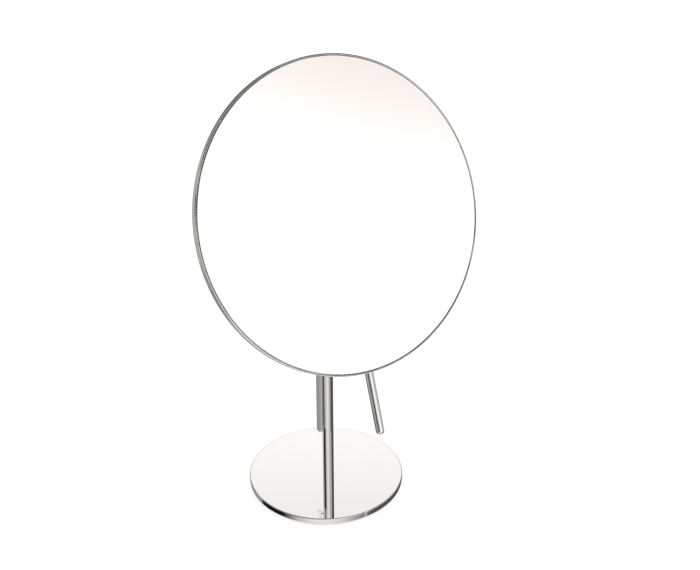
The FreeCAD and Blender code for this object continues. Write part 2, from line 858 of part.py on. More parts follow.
def make_handle_rod():
    """A rod with a round lower end and a spigot that goes into the hub."""
    radius = "handle_diameter / 2"
    spigot = "handle_spigot_diameter / 2"
    shoulder = "-handle_start"
    centre = "-handle_reach + handle_diameter / 2"
    body = new_body("handle_rod")
    turn(body, "Z", [
        ("0", "-handle_reach", centre),
        (radius, centre),
        (radius, shoulder),
        (spigot, shoulder),
        (spigot, shoulder + " + handle_spigot_length"),
        ("0", shoulder + " + handle_spigot_length"),
    ], shift=("0", "0", "-handle_back"))
    return hang(body)


def make_handle_grub_screw():
    """Ends on the spigot and stands flush with the back of the hub."""
    tip = "handle_back + handle_spigot_diameter / 2"
    radius = "handle_grub_diameter / 2"
    body = new_body("handle_grub_screw")
    up = "-handle_start + handle_spigot_length / 2"
    turn(body, "Y", [
        ("0", tip),
        (radius, tip),
        (radius, "hub_back"),
        ("0", "hub_back"),
    ], shift=("0", "0", up))
    socket = new_sketch(body, "XZ_Plane", "handle_grub_screw_socket", ("0", up, "-hub_back"))
    draw_outline(socket, hex_corners("grub_socket_width"))
    pocket(body, socket, "grub_socket_depth", reverse=True)
    return hang(body)


PIECES = [
    make_base_disc(), make_base_pad(), make_base_screw(),
    make_post_foot(), make_post_tube(), make_post_head(), make_thrust_washer(),
    make_guide_block(), make_swivel_bush(), make_swivel_disc_spring(), make_swivel_washer(),
    make_swivel_screw(), make_block_cap(),
    make_friction_shoe(), make_shoe_disc_springs(), make_shoe_set_screw(),
    make_lift_bar(), make_hinge_screw(), make_hinge_washers(), make_hinge_disc_spring(),
    make_hinge_nut(),
    make_mirror_hub(), make_hub_screws(), make_back_plate(), make_adhesive_sheet(),
    make_mirror_glass(), make_handle_rod(), make_handle_grub_screw(),
]


def check_and_export():
    doc.recompute()
    for thing in doc.Objects:
        if "Invalid" in thing.State or "Error" in thing.State:
            raise RuntimeError(f"{thing.Label} failed: {thing.State}")
    for piece in PIECES:
        if piece.Shape.isNull() or not piece.Shape.isValid() or not piece.Shape.Solids:
            raise RuntimeError(piece.Label + " has no valid solid")
    os.makedirs("parts", exist_ok=True)
    for piece in PIECES:
        piece.Shape.exportStep(f"parts/{piece.Label}.step")
        box = piece.Shape.BoundBox
        print(f"{piece.Label:20s} solids {len(piece.Shape.Solids)} volume {piece.Shape.Volume:9.1f}"
              f"  x {box.XMin:7.2f} {box.XMax:7.2f}  y {box.YMin:7.2f} {box.YMax:7.2f}"
              f"  z {box.ZMin:7.2f} {box.ZMax:7.2f}")


check_and_export()
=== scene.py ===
"""Extendable shaving mirror: the finished pieces, their materials and the studio.

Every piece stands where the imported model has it. Outer sizes are read from the frame, and those
that a box can't show are named below. Pieces of the head are drawn about the tilt axis with the
mirror upright, and then leaned back by HEAD.
"""

import json
import math

import bmesh
import bpy
from mathutils import Matrix, Vector


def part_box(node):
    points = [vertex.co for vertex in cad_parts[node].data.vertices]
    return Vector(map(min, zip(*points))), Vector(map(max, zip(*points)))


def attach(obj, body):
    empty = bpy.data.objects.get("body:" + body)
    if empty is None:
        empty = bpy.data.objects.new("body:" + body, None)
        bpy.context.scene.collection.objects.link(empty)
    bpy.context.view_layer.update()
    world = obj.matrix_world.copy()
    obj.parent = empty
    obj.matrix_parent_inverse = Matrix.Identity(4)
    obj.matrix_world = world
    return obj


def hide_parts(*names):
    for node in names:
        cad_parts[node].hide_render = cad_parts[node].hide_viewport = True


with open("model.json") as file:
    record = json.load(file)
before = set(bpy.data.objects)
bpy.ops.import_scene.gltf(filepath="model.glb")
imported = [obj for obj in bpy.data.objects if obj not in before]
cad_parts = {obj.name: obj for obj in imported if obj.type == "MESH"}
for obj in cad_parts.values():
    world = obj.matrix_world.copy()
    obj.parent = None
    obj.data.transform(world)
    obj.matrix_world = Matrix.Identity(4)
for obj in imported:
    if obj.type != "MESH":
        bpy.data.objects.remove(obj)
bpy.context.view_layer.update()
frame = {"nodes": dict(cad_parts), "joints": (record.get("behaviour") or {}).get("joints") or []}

MM = 0.001
REST_TILT = math.radians(20.5)
PAST = 1 * MM               # how far a cutting tool runs past the piece
MERGE = 1e-7

# Stand and guide block
PAD_GAP = 0.3 * MM
FOOT_SCREW_GAP = 0.05 * MM
FOOT_SCREW_TAPER = 1.8 * MM
FOOT_SCREW_ROOF = 0.4 * MM
SOLE_RINGS = 10
SOLE_RING_HALF = (0.6 * MM, 0.3 * MM)
SOLE_RING_DEPTH = 0.4 * MM
POST_BORE = 3 * MM
THRUST_BORE = 2.4 * MM
BLOCK_CORNER = 5 * MM
BLOCK_RIM = 0.6 * MM
SIDE_SCREW_GAP = 0.05 * MM
SIDE_SOCKET = (2.5 * MM, 2.1 * MM)
CAP_RIM = (0.5 * MM, 0.15 * MM)

# Lift bar and hinge
BAR_HALF_WIDTH = 2.5 * MM
BAR_CORNER = 0.8 * MM
SLIDING_GAP = 0.1 * MM
GROOVE_HALF_WIDTH = 1.5 * MM
GROOVE_DEPTH = 0.9 * MM
SHOE_NOSE = 1.4 * MM
HINGE_SHANK = 2 * MM
HINGE_SOCKET = (2.4 * MM, 1.5 * MM)
BAR_EYE = 2.03 * MM
WASHER_BORE = 2.06 * MM
HINGE_BORE = 2.05 * MM
WASHER_THICKNESS = 0.4 * MM
NUT_CROWN = (0.94, 1.1, 0.8 * MM)

# Mirror head
HUB_DEPTH = 6.7 * MM
HUB_BOSS = (9 * MM, 2.4 * MM)
LUG_HALF_WIDTH = 1.85 * MM
LUG_ROOT = 0.5 * MM
AXLE_REACH = 4 * MM
GRUB_GAP = 0.03 * MM
GRUB_SOCKET = (1.5 * MM, 1.3 * MM)
HANDLE_NECK = 2 * MM
HUB_SCREW_HEAD = 2.5 * MM
HUB_SCREW_SHANK = 1.5 * MM
HUB_SCREW_CIRCLE = 13 * MM
CURVE_RADIUS = 2000 * MM
GLASS_THICKNESS = 2.8 * MM
GLASS_EDGE = 0.4 * MM
FILM_THICKNESS = 0.3 * MM
PLATE_THICKNESS = 1.5 * MM
PLATE_EDGE = 0.5 * MM
RIM_GAP = 0.2 * MM
RIM_ROUNDING = (0.5 * MM, 0.65 * MM)


# Places read from the frame

def joint(name):
    return next(j for j in frame["joints"] if j["name"] == name)


TILT_AXIS = Vector(joint("tilt")["pos_m"])
HEAD = Matrix.Translation(TILT_AXIS) @ Matrix.Rotation(-REST_TILT, 4, "X")


def head_box(*nodes):
    """Box of head nodes about the tilt axis, with the mirror upright."""
    back = HEAD.inverted()
    points = [back @ vertex.co for node in nodes for vertex in frame["nodes"][node].data.vertices]
    low = Vector(min(point[axis] for point in points) for axis in range(3))
    high = Vector(max(point[axis] for point in points) for axis in range(3))
    return low, high


GLASS_RADIUS = head_box("mirror_glass")[1].x


# Node helpers

FLOAT = "NodeSocketFloat"
VECTOR = "NodeSocketVector"
COLOUR = "NodeSocketColor"
WHOLE = "NodeSocketInt"
PAINT = "NodeSocketMaterial"
SHAPE = "NodeSocketGeometry"


def feed(tree, socket, value):
    if isinstance(value, bpy.types.NodeSocket):
        tree.links.new(value, socket)
    else:
        socket.default_value = value


def add(tree, kind, inputs=None, **settings):
    """Add a node with its settings, and with values or links for its inputs."""
    node = tree.nodes.new(kind)
    for name, value in settings.items():
        setattr(node, name, value)
    for key, value in (inputs or {}).items():
        feed(tree, node.inputs[key], value)
    return node


def calc(tree, operation, *values):
    node = add(tree, "ShaderNodeMath", operation=operation)
    for socket, value in zip(node.inputs, values):
        feed(tree, socket, value)
    return node.outputs[0]


def ramp(tree, value, stops, smooth="EASE"):
    """A ramp from rising (place, level) stops. A level is a grey or a colour."""
    node = add(tree, "ShaderNodeValToRGB", inputs={"Fac": value})
    band = node.color_ramp
    band.interpolation = smooth
    band.elements[1].position = stops[-1][0]
    band.elements[0].position = stops[0][0]
    for place, _ in stops[1:-1]:
        band.elements.new(place)
    for element, (_, level) in zip(band.elements, stops):
        colour = level if isinstance(level, tuple) else (level, level, level)
        element.color = (*colour, 1)
    return node.outputs["Color"]


def mix(tree, amount, first, second, blend="MIX"):
    node = add(tree, "ShaderNodeMix", data_type="RGBA", blend_type=blend)
    for name, value in (("Factor", amount), ("A", first), ("B", second)):
        feed(tree, next(s for s in node.inputs if s.name == name and s.enabled), value)
    return next(s for s in node.outputs if s.enabled)


def grey(level):
    return (level, level, level, 1)


def painted(tree, colour, tone):
    """A colour or colour socket, multiplied by a grey tone."""
    shade = add(tree, "ShaderNodeCombineColor", {0: tone, 1: tone, 2: tone}).outputs[0]
    return mix(tree, 1.0, colour, shade, "MULTIPLY")


def noise(tree, place, scale, detail, **more):
    return add(tree, "ShaderNodeTexNoise", {"Vector": place, "Scale": scale, "Detail": detail,
                                           **more}).outputs["Fac"]


def bumped(tree, depth, height, distance):
    return add(tree, "ShaderNodeBump", {"Strength": depth, "Distance": distance,
                                       "Height": height}).outputs["Normal"]


def radius_from_axis(tree, place):
    """Distance of a place from its Y axis."""
    parts = add(tree, "ShaderNodeSeparateXYZ", {0: place}).outputs
    across = calc(tree, "POWER", parts["X"], 2.0)
    up = calc(tree, "POWER", parts["Z"], 2.0)
    return calc(tree, "SQRT", calc(tree, "ADD", across, up))


def new_group(name, inputs, outputs):
    """A shader node group with named inputs and outputs: returns the tree and its two ends."""
    tree = bpy.data.node_groups.new(name, "ShaderNodeTree")
    for label, kind, value in inputs:
        socket = tree.interface.new_socket(label, in_out="INPUT", socket_type=kind)
        if value is not None:
            socket.default_value = value
    for label, kind in outputs:
        tree.interface.new_socket(label, in_out="OUTPUT", socket_type=kind)
    source = tree.nodes.new("NodeGroupInput").outputs
    sink = tree.nodes.new("NodeGroupOutput").inputs
    return tree, source, sink


# Effects that several materials share

def make_handled_polish():
    """Faint smudges, a fine haze and hair scratches of a polished surface that is wiped."""
    tree, source, sink = new_group(
        "handled_polish",
        [("Place", VECTOR, None), ("Roughness", FLOAT, 0.03), ("Haze", FLOAT, 0.04),
         ("Scratch Depth", FLOAT, 0.02), ("Smudge Depth", FLOAT, 0.03)],
        [("Roughness", FLOAT), ("Normal", VECTOR), ("Tone", FLOAT)])
    smudge = ramp(tree, noise(tree, source["Place"], 38.0, 5.0, Roughness=0.6),
                  [(0.52, 0.0), (0.72, 1.0)])
    wipe = add(tree, "ShaderNodeMapping", {"Vector": source["Place"], "Rotation": (0.3, 0.5, 0.9),
                                          "Scale": (900.0, 60.0, 60.0)}).outputs[0]
    hair = ramp(tree, noise(tree, wipe, 1.0, 3.0), [(0.60, 0.0), (0.66, 1.0)])
    feed(tree, sink["Roughness"],
         calc(tree, "MULTIPLY_ADD", smudge, source["Haze"], source["Roughness"]))
    feed(tree, sink["Normal"], bumped(tree, source["Scratch Depth"], hair, 0.00002))
    shade = calc(tree, "MULTIPLY", smudge, source["Smudge Depth"])
    feed(tree, sink["Tone"], calc(tree, "SUBTRACT", 1.0, shade))
    return tree


def make_spun_grain():
    """Fine turned lines round the Y axis of a place, as on a spun or faced disc."""
    tree, source, sink = new_group(
        "spun_grain",
        [("Place", VECTOR, None), ("Lines per Metre", FLOAT, 2500.0), ("Depth", FLOAT, 0.2),
         ("Roughness", FLOAT, 0.25)],
        [("Roughness", FLOAT), ("Normal", VECTOR), ("Tone", FLOAT)])
    parts = add(tree, "ShaderNodeSeparateXYZ", {0: source["Place"]}).outputs
    lines = calc(tree, "MULTIPLY", radius_from_axis(tree, source["Place"]),
                 source["Lines per Metre"])
    angle = calc(tree, "ARCTAN2", parts["X"], parts["Z"])
    where = add(tree, "ShaderNodeCombineXYZ", {"X": lines, "Y": calc(tree, "MULTIPLY", angle, 1.6),
                                              "Z": 0.0}).outputs[0]
    grain = noise(tree, where, 1.0, 2.0, Roughness=0.7)
    feed(tree, sink["Normal"], bumped(tree, source["Depth"], grain, 0.00002))
    feed(tree, sink["Roughness"], calc(tree, "MULTIPLY_ADD", grain, 0.18, source["Roughness"]))
    feed(tree, sink["Tone"], calc(tree, "MULTIPLY_ADD", grain, 0.22, 0.89))
    return tree


def make_moulded_mottle():
    """Soft mottle and fine grain of a moulded or rubber surface."""
    tree, source, sink = new_group(
        "moulded_mottle",
        [("Place", VECTOR, None), ("Colour", COLOUR, None), ("Variation", FLOAT, 0.15),
         ("Roughness", FLOAT, 0.5), ("Grain", FLOAT, 0.2)],
        [("Colour", COLOUR), ("Roughness", FLOAT), ("Normal", VECTOR)])
    cloud = calc(tree, "SUBTRACT", noise(tree, source["Place"], 120.0, 4.0), 0.5)
    grit = noise(tree, source["Place"], 2600.0, 2.0)
    shade = calc(tree, "MULTIPLY_ADD", cloud, source["Variation"], 1.0)
    feed(tree, sink["Colour"], painted(tree, source["Colour"], shade))
    feed(tree, sink["Roughness"], calc(tree, "MULTIPLY_ADD", calc(tree, "SUBTRACT", grit, 0.5),
                                       0.2, source["Roughness"]))
    feed(tree, sink["Normal"], bumped(tree, source["Grain"], grit, 0.00005))
    return tree


POLISH = make_handled_polish()
SPUN = make_spun_grain()
MOTTLE = make_moulded_mottle()


# Materials

POLISHED_COLOUR = (0.93, 0.918, 0.908)
GROUND_EDGE_COLOUR = (0.60, 0.62, 0.61)


def new_material(name):
    material = bpy.data.materials.new(name)
    material.use_nodes = True
    tree = material.node_tree
    return material, tree, tree.nodes["Principled BSDF"]


def surfaced(tree, shader, colour, roughness, normal, metallic=0):
    """Feed a shader's colour, roughness and normal."""
    feed(tree, shader.inputs["Base Color"], colour)
    feed(tree, shader.inputs["Roughness"], roughness)
    feed(tree, shader.inputs["Normal"], normal)
    shader.inputs["Metallic"].default_value = metallic


def own_place(tree, at=(0, 0, 0), lean=0.0, scale=(1, 1, 1)):
    """Object coordinates, centred on a point and turned upright."""
    place = add(tree, "ShaderNodeTexCoord").outputs["Object"]
    shifted = add(tree, "ShaderNodeMapping", {"Vector": place,
                                             "Location": tuple(-Vector(at))}).outputs[0]
    return add(tree, "ShaderNodeMapping", {"Vector": shifted, "Rotation": (lean, 0, 0),
                                          "Scale": scale}).outputs[0]


def effect(tree, group, **inputs):
    node = add(tree, "ShaderNodeGroup", node_tree=group)
    for name, value in inputs.items():
        feed(tree, node.inputs[name.replace("_", " ")], value)
    return node.outputs


def polished_metal(name, colour, roughness=0.03, haze=0.04, depth=0.02, scale=(1, 1, 1),
                   smudge=0.02):
    material, tree, shader = new_material(name)
    look = effect(tree, POLISH, Place=own_place(tree, scale=scale), Roughness=roughness, Haze=haze,
                  Scratch_Depth=depth, Smudge_Depth=smudge)
    surfaced(tree, shader, painted(tree, (*colour, 1), look["Tone"]), look["Roughness"],
             look["Normal"], 1)
    return material


def spun_pan(name, colour, roughness):
    """Spun steel over the back, and a polished rim outside the glass."""
    material, tree, shader = new_material(name)
    place = own_place(tree, TILT_AXIS, REST_TILT)
    look = effect(tree, SPUN, Place=place, Roughness=roughness)
    rim = calc(tree, "GREATER_THAN", radius_from_axis(tree, place), GLASS_RADIUS)
    spun = painted(tree, (*colour, 1), look["Tone"])
    surfaced(tree, shader, mix(tree, rim, spun, (*POLISHED_COLOUR, 1)),
             mix(tree, rim, look["Roughness"], grey(0.03)), look["Normal"], 1)
    return material


def moulded(name, colour, roughness, variation=0.15, grain=0.2):
    material, tree, shader = new_material(name)
    look = effect(tree, MOTTLE, Place=own_place(tree), Colour=(*colour, 1), Variation=variation,
                  Roughness=roughness, Grain=grain)
    surfaced(tree, shader, look["Colour"], look["Roughness"], look["Normal"])
    return material


def silvered_glass(name, colour):
    """Clear mirror over the face, and a ground and polished glass edge round it."""
    material, tree, shader = new_material(name)
    place = own_place(tree, TILT_AXIS, REST_TILT)
    look = effect(tree, POLISH, Place=place, Roughness=0.0, Haze=0.004, Scratch_Depth=0.002,
                  Smudge_Depth=0.003)
    edge = calc(tree, "GREATER_THAN", radius_from_axis(tree, place), GLASS_RADIUS - GLASS_EDGE)
    face = painted(tree, (*colour, 1), look["Tone"])
    surfaced(tree, shader, mix(tree, edge, face, (*GROUND_EDGE_COLOUR, 1)),
             mix(tree, edge, look["Roughness"], grey(0.12)), look["Normal"], 1)
    return material


CHROME = polished_metal("chrome_polished", POLISHED_COLOUR)
BAR_CHROME = polished_metal("chrome_drawn", (0.92, 0.91, 0.90), 0.05, 0.05, 0.05, (1, 1, 0.04))
FOOT_CHROME = polished_metal("chrome_foot", (0.98, 0.945, 0.925), 0.0, 0.02, 0.006, smudge=0.006)
SCREW = polished_metal("screw_plated", (0.72, 0.72, 0.74), 0.16, 0.10, 0.10)
SPRING = polished_metal("spring_steel", (0.38, 0.39, 0.42), 0.28, 0.10, 0.10)
BRASS = polished_metal("turned_brass", (0.80, 0.60, 0.28), 0.22, 0.12, 0.12)
PLATE_STEEL = spun_pan("plate_spun", (0.74, 0.735, 0.73), 0.16)
NYLON = moulded("nylon_natural", (0.80, 0.78, 0.72), 0.42)
RUBBER = moulded("rubber_sole", (0.022, 0.022, 0.023), 0.62, 0.35, 0.5)
FILM = moulded("bonding_film", (0.10, 0.10, 0.105), 0.5)
GLASS = silvered_glass("mirror_silvered", (0.985, 0.925, 0.90))


# Mesh helpers

FLAT_BESIDE_ARC = 0.3


def rounded(corners, steps):
    """Points of a closed outline of (across, up, radius) corners, each rounded by its radius.

    A short straight piece stays beside each arc, so that flat faces shade flat."""
    points = []
    for index, (across, up, radius) in enumerate(corners):
        here = Vector((across, up))
        if not radius:
            points.append(here)
            continue
        before = (Vector(corners[index - 1][:2]) - here).normalized()
        after = (Vector(corners[(index + 1) % len(corners)][:2]) - here).normalized()
        half = math.acos(max(-1, min(1, before.dot(after)))) / 2
        start = here + before * (radius / math.tan(half))
        end = here + after * (radius / math.tan(half))
        centre = here + (before + after).normalized() * (radius / math.sin(half))
        first, last = start - centre, end - centre
        sweep = math.atan2(first.x * last.y - first.y * last.x, first.dot(last))
        points.append(start + before * radius * FLAT_BESIDE_ARC)
        for step in range(steps + 1):
            points.append(centre + Matrix.Rotation(sweep * step / steps, 2) @ first)
        points.append(end + after * radius * FLAT_BESIDE_ARC)
    return points


def new_object(name, mesh):
    thing = bpy.data.objects.new(name, mesh)
    bpy.context.scene.collection.objects.link(thing)
    return thing


def mesh_from(shape, name):
    bmesh.ops.remove_doubles(shape, verts=shape.verts, dist=MERGE)
    bmesh.ops.recalc_face_normals(shape, faces=shape.faces)
    mesh = bpy.data.meshes.new(name)
    shape.to_mesh(mesh)
    shape.free()
    return mesh


def lathe(name, points, steps, around="Z"):
    """Turn a closed outline of (radius, along) points about an axis."""
    shape = bmesh.new()
    turn = [2 * math.pi * step / steps for step in range(steps)]
    rings = []
    for radius, along in points:
        if radius < MERGE:
            rings.append([shape.verts.new((0, 0, along))])
            continue
        rings.append([shape.verts.new((radius * math.cos(a), radius * math.sin(a), along))
                      for a in turn])
    for first, second in zip(rings, rings[1:] + rings[:1]):
        for step in range(steps):
            after = (step + 1) % steps
            corners = list(dict.fromkeys([
                ring[place % len(ring)] for ring, place in
                ((first, step), (first, after), (second, after), (second, step))]))
            if len(corners) > 2:
                shape.faces.new(corners)
    turns = {"Z": Matrix.Identity(4), "X": Matrix.Rotation(math.pi / 2, 4, "Y"),
             "Y": Matrix.Rotation(-math.pi / 2, 4, "X")}
    bmesh.ops.transform(shape, matrix=turns[around], verts=shape.verts)
    return new_object(name, mesh_from(shape, name))


def plug(name, radius, start, end, steps, around="Z"):
    """A plain round tool."""
    return lathe(name, [(0, start), (radius, start), (radius, end), (0, end)], steps, around)


def prism(name, outline, low, high, along="Z"):
    """A straight solid on an outline of (across, up) points. Along X, the outline lies in Y, Z."""
    shape = bmesh.new()
    order = {"Z": lambda p, h: (p[0], p[1], h), "X": lambda p, h: (h, p[0], p[1])}[along]
    bottom = [shape.verts.new(order(point, low)) for point in outline]
    top = [shape.verts.new(order(point, high)) for point in outline]
    shape.faces.new(bottom)
    shape.faces.new(top)
    for index in range(len(outline)):
        following = (index + 1) % len(outline)
        shape.faces.new([bottom[index], bottom[following], top[following], top[index]])
    return new_object(name, mesh_from(shape, name))


def arc(across, up, radius, start, end, steps):
    """Points along an arc, from one angle to another in degrees."""
    return [(across + radius * math.cos(math.radians(start + (end - start) * step / steps)),
             up + radius * math.sin(math.radians(start + (end - start) * step / steps)))
            for step in range(steps + 1)]


def hexagon(across_flats):
    radius = across_flats / math.sqrt(3)
    return [(radius * math.cos(math.radians(a)), radius * math.sin(math.radians(a)))
            for a in range(0, 360, 60)]


def moved(thing, offset):
    thing.data.transform(Matrix.Translation(offset))
    return thing


def baked(thing):
    """Turn a thing and its modifiers into a plain mesh."""
    bpy.context.view_layer.update()
    view = bpy.context.evaluated_depsgraph_get()
    mesh = bpy.data.meshes.new_from_object(thing.evaluated_get(view))
    thing.modifiers.clear()
    thing.data = mesh
    return thing


def combine(thing, tools, operation="DIFFERENCE"):
    for tool in tools:
        step = thing.modifiers.new("shape", "BOOLEAN")
        step.operation = operation
        step.solver = "EXACT"
        step.object = tool
    baked(thing)
    for tool in tools:
        bpy.data.objects.remove(tool)
    return thing


def bevelled(thing, width, segments, angle):
    """Cut or round the edges that are sharper than an angle."""
    bevel = thing.modifiers.new("edges", "BEVEL")
    bevel.width = width
    bevel.segments = segments
    bevel.limit_method = "ANGLE"
    bevel.angle_limit = math.radians(angle)
    return baked(thing)


def soften(thing, width, segments, angle):
    """Round the sharp edges and weight the normals, so that flats stay flat."""
    bevelled(thing, width, segments, angle)
    thing.data.shade_smooth()
    weight = thing.modifiers.new("normals", "WEIGHTED_NORMAL")
    weight.keep_sharp = True
    return baked(thing)


def finish_piece(thing, body, nodes, material, sharp=35):
    """Shade, paint and hand a piece to the frame."""
    mesh = thing.data
    if not mesh.has_custom_normals:
        mesh.shade_smooth()
        mesh.set_sharp_from_angle(angle=math.radians(sharp))
    mesh.materials.clear()
    mesh.materials.append(material)
    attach(thing, body)
    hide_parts(*nodes)
    return thing


def on_head(thing):
    thing.data.transform(HEAD)
    return thing


# Stand

def make_foot():
    low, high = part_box("base_disc")
    radius = (high.x - low.x) / 2
    pad_low, pad_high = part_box("base_pad")
    recess = (pad_high.x - pad_low.x) / 2 + PAD_GAP
    edge = 0.5 * MM
    foot = lathe("foot", rounded([
        (0, pad_high.z, 0), (recess, pad_high.z, 0), (recess, low.z, 0.15 * MM),
        (radius, low.z, edge), (radius, high.z, edge), (0, high.z, 0),
    ], 7), 256)
    screw_low, screw_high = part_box("base_screw")
    head = (screw_high.x - screw_low.x) / 2 + FOOT_SCREW_GAP
    shank = head - FOOT_SCREW_TAPER
    roof = high.z - FOOT_SCREW_ROOF
    centre = (screw_low + screw_high) / 2
    hole = lathe("hole", [
        (0, low.z), (head, low.z), (head, screw_low.z), (shank, screw_low.z + FOOT_SCREW_TAPER),
        (shank, roof), (0, roof),
    ], 48)
    combine(foot, [moved(hole, (centre.x, centre.y, 0))])
    return finish_piece(foot, "stand", ["base_disc"], FOOT_CHROME)


def make_sole():
    """Rubber disc with shallow rings pressed into its underside."""
    low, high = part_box("base_pad")
    radius = (high.x - low.x) / 2
    corners = [(0, high.z, 0), (0, low.z, 0)]
    mouth, root = SOLE_RING_HALF
    edge = 0.1 * MM
    for index in range(1, SOLE_RINGS):
        middle = radius * index / SOLE_RINGS
        deep = low.z + SOLE_RING_DEPTH
        corners += [(middle - mouth, low.z, edge), (middle - root, deep, 0),
                    (middle + root, deep, 0), (middle + mouth, low.z, edge)]
    corners += [(radius, low.z, 2 * edge), (radius, high.z, edge)]
    sole = lathe("sole", rounded(corners, 2), 128)
    return finish_piece(sole, "stand", ["base_pad"], RUBBER)


def make_ring(name, node, bore, material, edge=0.1 * MM):
    """A tube or washer of the stand that fills a node's box. It is square at its lower end."""
    low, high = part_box(node)
    radius = (high.x - low.x) / 2
    ring = lathe(name, rounded([
        (bore, low.z, 0), (radius, low.z, 0), (radius, high.z, edge), (bore, high.z, edge),
    ], 3), 128)
    centre = (low + high) / 2
    moved(ring, (centre.x, centre.y, 0))
    return finish_piece(ring, "stand", [node], material)


# Guide block

def make_guide_block():
    low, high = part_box("guide_block")
    left, right = low.x + BLOCK_CORNER, high.x - BLOCK_CORNER
    front, back = low.y + BLOCK_CORNER, high.y - BLOCK_CORNER
    outline = []
    corners = ((right, back), (left, back), (left, front), (right, front))
    for turn, (across, up) in enumerate(corners):
        outline += arc(across, up, BLOCK_CORNER, 90 * turn, 90 * (turn + 1), 12)
    block = bevelled(prism("guide_block_case", outline, low.z, high.z), BLOCK_RIM, 4, 60)
    bar_low, bar_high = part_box("lift_bar")
    reach = BAR_HALF_WIDTH + SLIDING_GAP
    left, right = bar_low.x - SLIDING_GAP, bar_high.x + SLIDING_GAP
    slot = prism("slot", [(left, -reach), (right, -reach), (right, reach), (left, reach)],
                 low.z - PAST, high.z + PAST)
    bush_low, bush_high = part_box("swivel_bush")
    cap_low, cap_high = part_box("block_cap")
    bore = (bush_high.x - bush_low.x) / 2
    well = (cap_high.x - cap_low.x) / 2
    centre = (bush_low + bush_high) / 2
    shaft = lathe("shaft", [
        (0, low.z - PAST), (bore, low.z - PAST), (bore, bush_high.z), (well, bush_high.z),
        (well, high.z + PAST), (0, high.z + PAST),
    ], 96)
    moved(shaft, (centre.x, centre.y, 0))
    screw_low, screw_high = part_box("shoe_set_screw")
    middle = (screw_low + screw_high) / 2
    side_bore = plug("side_bore", (screw_high.y - screw_low.y) / 2 + SIDE_SCREW_GAP,
                     low.x - PAST, bar_low.x, 64, "X")
    moved(side_bore, (0, middle.y, middle.z))
    combine(block, [slot, shaft, side_bore])
    soften(block, 0.12 * MM, 2, 50)
    return finish_piece(block, "guide", ["guide_block"], CHROME)


def make_block_cap():
    low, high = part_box("block_cap")
    block_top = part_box("guide_block")[1].z
    radius = (high.x - low.x) / 2
    inset, drop = CAP_RIM
    cap = lathe("cap", rounded([
        (0, low.z, 0), (radius, low.z, 0), (radius, block_top, 0.1 * MM),
        (radius - inset, high.z - drop, 0.3 * MM), (0, high.z, 0),
    ], 4), 96)
    centre = (low + high) / 2
    moved(cap, (centre.x, centre.y, 0))
    return finish_piece(cap, "guide", ["block_cap"], CHROME)


def socketed(screw, low, width, depth):
    """Cut a hexagon socket into the left end of a screw along X."""
    return combine(screw, [prism("socket", hexagon(width), low - PAST, low + depth, along="X")])


def make_side_screw():
    """A headless screw along X with a hexagon socket in its left end."""
    low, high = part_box("shoe_set_screw")
    radius = (high.y - low.y) / 2
    edge = 0.25 * MM
    screw = socketed(lathe("side_screw", rounded([
        (0, low.x, 0), (radius, low.x, edge), (radius, high.x, edge), (0, high.x, 0),
    ], 3), 96, "X"), low.x, *SIDE_SOCKET)
    centre = (low + high) / 2
    moved(screw, (0, centre.y, centre.z))
    return finish_piece(screw, "guide", ["shoe_set_screw"], SCREW)


# Lift bar and hinge

def on_hinge(thing):
    return moved(thing, (0, TILT_AXIS.y, TILT_AXIS.z))


def make_lift_bar():
    """Flat bar, square below and round about the hinge, with the shoe's groove down one face."""
    low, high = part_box("lift_bar")
    inset = BAR_HALF_WIDTH - BAR_CORNER
    round_end = (high.y - low.y) / 2
    neck = math.degrees(math.asin(BAR_HALF_WIDTH / round_end))
    outline = (arc(0, TILT_AXIS.z, round_end, neck - 90, 270 - neck, 48)
               + arc(-inset, low.z + BAR_CORNER, BAR_CORNER, 180, 270, 8)
               + arc(inset, low.z + BAR_CORNER, BAR_CORNER, 270, 360, 8))
    bar = prism("bar", outline, low.x, high.x, along="X")
    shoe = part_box("friction_shoe")
    height = (shoe[0].z + shoe[1].z) / 2
    down, up = joint("height")["range_m"]
    bottom = height - up - SHOE_NOSE - SLIDING_GAP
    top = height - down + SHOE_NOSE + SLIDING_GAP
    half = GROOVE_HALF_WIDTH
    groove = prism("groove", [(half, bottom), (half, top), (-half, top), (-half, bottom)],
                   low.x - PAST, low.x + GROOVE_DEPTH, along="X")
    eye = on_hinge(plug("eye", BAR_EYE, low.x - PAST, high.x + PAST, 64, "X"))
    combine(bar, [groove, eye])
    soften(bar, 0.18 * MM, 3, 50)
    return finish_piece(bar, "lift", ["lift_bar"], BAR_CHROME)


def make_hinge_screw():
    """Low round head with a hexagon socket on the bar's side, and a plain shank."""
    low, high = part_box("hinge_screw")
    head = (high.y - low.y) / 2
    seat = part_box("lift_bar")[0].x
    screw = socketed(lathe("hinge_pin", rounded([
        (0, low.x, 0), (head, low.x, 0.7 * MM), (head, seat, 0.1 * MM), (HINGE_SHANK, seat, 0),
        (HINGE_SHANK, high.x, 0.3 * MM), (0, high.x, 0),
    ], 5), 96, "X"), low.x, *HINGE_SOCKET)
    return finish_piece(on_hinge(screw), "lift", ["hinge_screw"], SCREW)


def make_hinge_washers():
    """The two nylon washers of the hinge, one each side of the lug."""
    low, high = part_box("hinge_washers")
    radius = (high.y - low.y) / 2
    edge = 0.08 * MM
    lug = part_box("hinge_disc_spring")[0].x - WASHER_THICKNESS
    shape = bmesh.new()
    for start, end in ((low.x, -lug), (lug, high.x)):
        one = lathe("washer", rounded([(WASHER_BORE, start, 0), (radius, start, edge),
                                       (radius, end, edge), (WASHER_BORE, end, 0)], 2), 96, "X")
        shape.from_mesh(one.data)
        bpy.data.objects.remove(one)
    washers = on_hinge(new_object("hinge_rings", mesh_from(shape, "hinge_rings")))
    return finish_piece(washers, "lift", ["hinge_washers"], NYLON)


